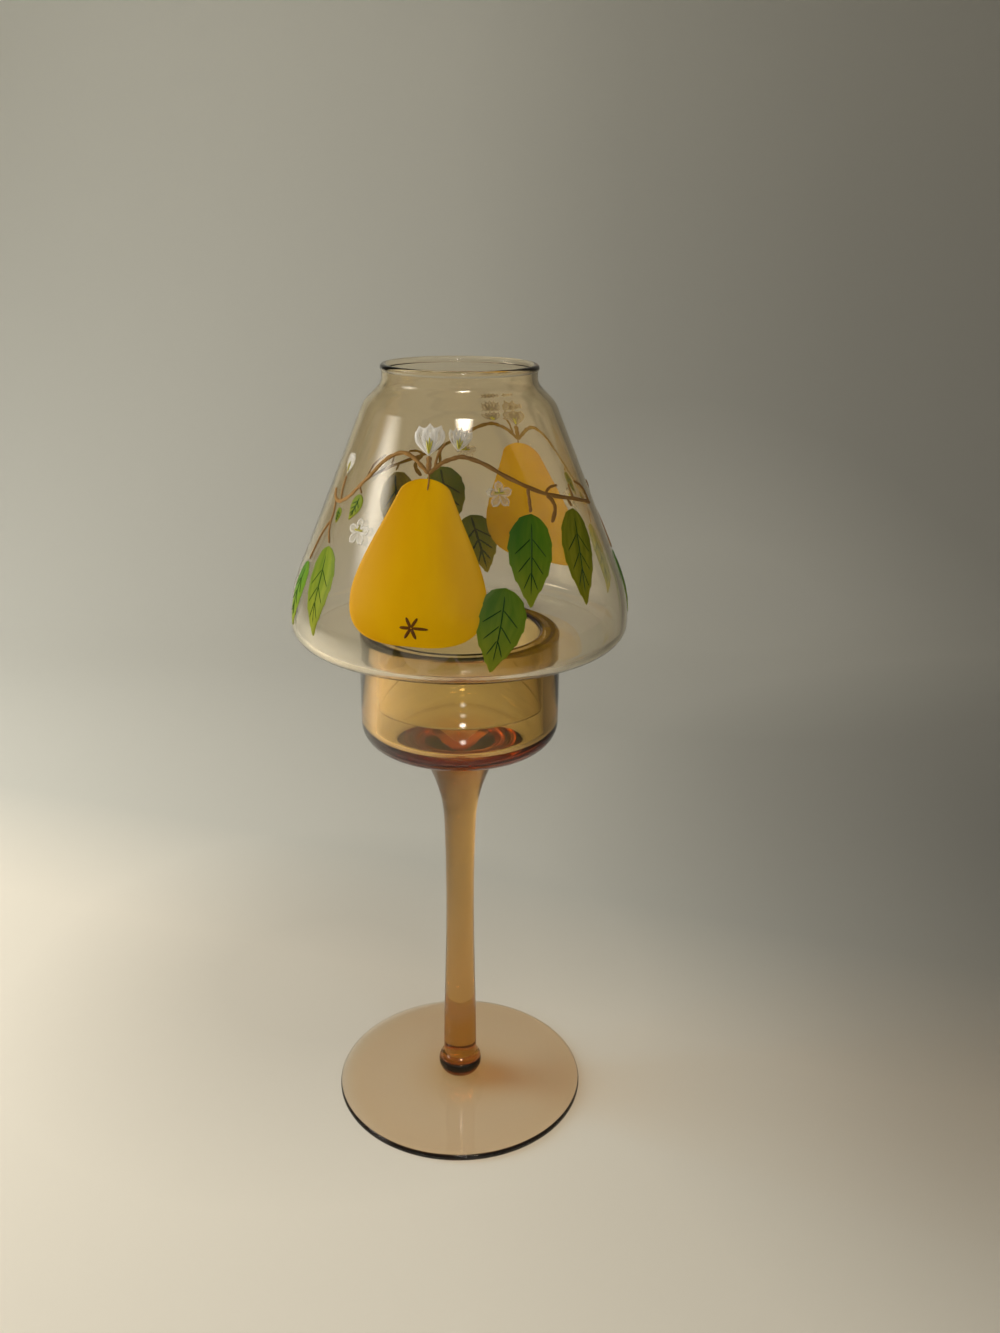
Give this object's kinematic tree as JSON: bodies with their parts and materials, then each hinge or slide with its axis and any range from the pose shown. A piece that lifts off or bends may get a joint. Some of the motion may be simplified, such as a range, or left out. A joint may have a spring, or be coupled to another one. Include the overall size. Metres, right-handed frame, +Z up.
{
  "type": "votive candle holder",
  "caption": "Stemmed amber glass candle cup on a round foot, carrying a lift-off clear glass shade with a fired enamel fruit bough.",
  "frame": {"origin": "centre of the foot's underside, on the axis of the stem", "axes": "+Z up along the stem, -Y towards the side with the first fruit, which the picture shows"},
  "size_m": [0.0975, 0.0974, 0.2354],
  "materials": {
    "amber_glass": "smooth transparent amber glass, fire polished",
    "clear_glass": "smooth clear glass with a pale warm tint",
    "fruit_enamel": "smooth fired enamel, golden yellow",
    "brown_enamel": "smooth fired enamel, red brown",
    "leaf_enamel": "smooth fired enamel, green in two tones",
    "vein_enamel": "fine fired line work, dark green",
    "blossom_enamel": "thin translucent fired enamel, white",
    "stamen_enamel": "fine fired line work, yellow green"
  },
  "bodies": {
    "holder": {"foot": "amber_glass", "knop": "amber_glass", "stem": "amber_glass", "cup": "amber_glass"},
    "shade": {"shade": "clear_glass", "fruit": "fruit_enamel", "fruit_eyes": "brown_enamel", "leaves": "leaf_enamel", "leaf_veins": "vein_enamel", "twigs": "brown_enamel", "blossoms": "blossom_enamel", "stamens": "stamen_enamel"}
  },
  "joints": [
    {"name": "shade_lift", "type": "slide", "parent": "holder", "child": "shade", "axis": [0, 0, 1], "range_m": [0, 0.1]}
  ]
}
